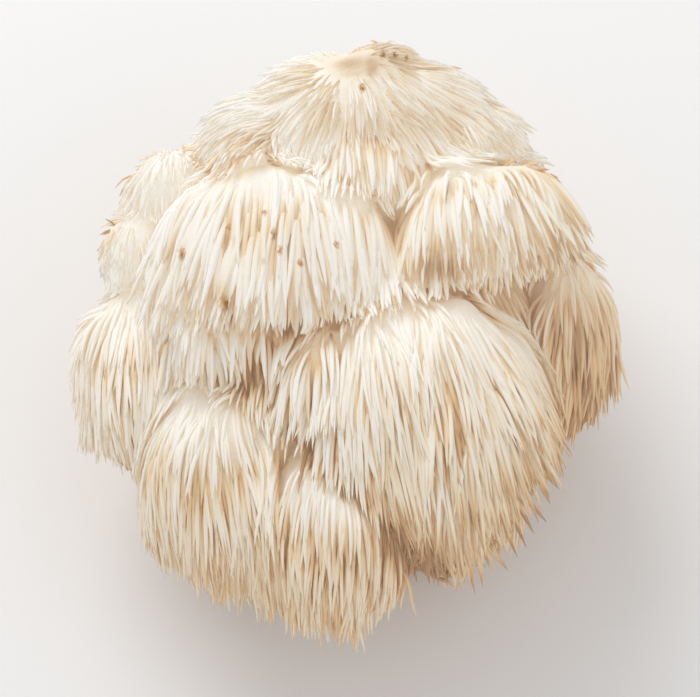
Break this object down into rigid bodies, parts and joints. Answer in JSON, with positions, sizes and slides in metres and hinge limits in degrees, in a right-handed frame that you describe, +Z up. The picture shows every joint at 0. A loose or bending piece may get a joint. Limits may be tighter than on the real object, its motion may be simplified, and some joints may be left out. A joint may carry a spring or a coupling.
{
  "type": "lions mane mushroom",
  "caption": "Ball-shaped white fungus of overlapping lobes covered in long hanging spines, cut flat at its back where it lies.",
  "frame": {"origin": "middle of the bounding box, on the floor that the flat cut rests on", "axes": "+Z up from the flat cut, -Y the way the spines run, towards the near side, +Y towards the crown, +X to the right seen from the near side"},
  "size_m": [0.151, 0.167, 0.1213],
  "materials": {
    "mushroom_flesh": "soft, matt, fibrous mushroom flesh: cream white spines, tan between them, honey brown in the deepest gaps"
  },
  "bodies": {
    "root": {"fruiting_body": "mushroom_flesh"}
  },
  "joints": []
}
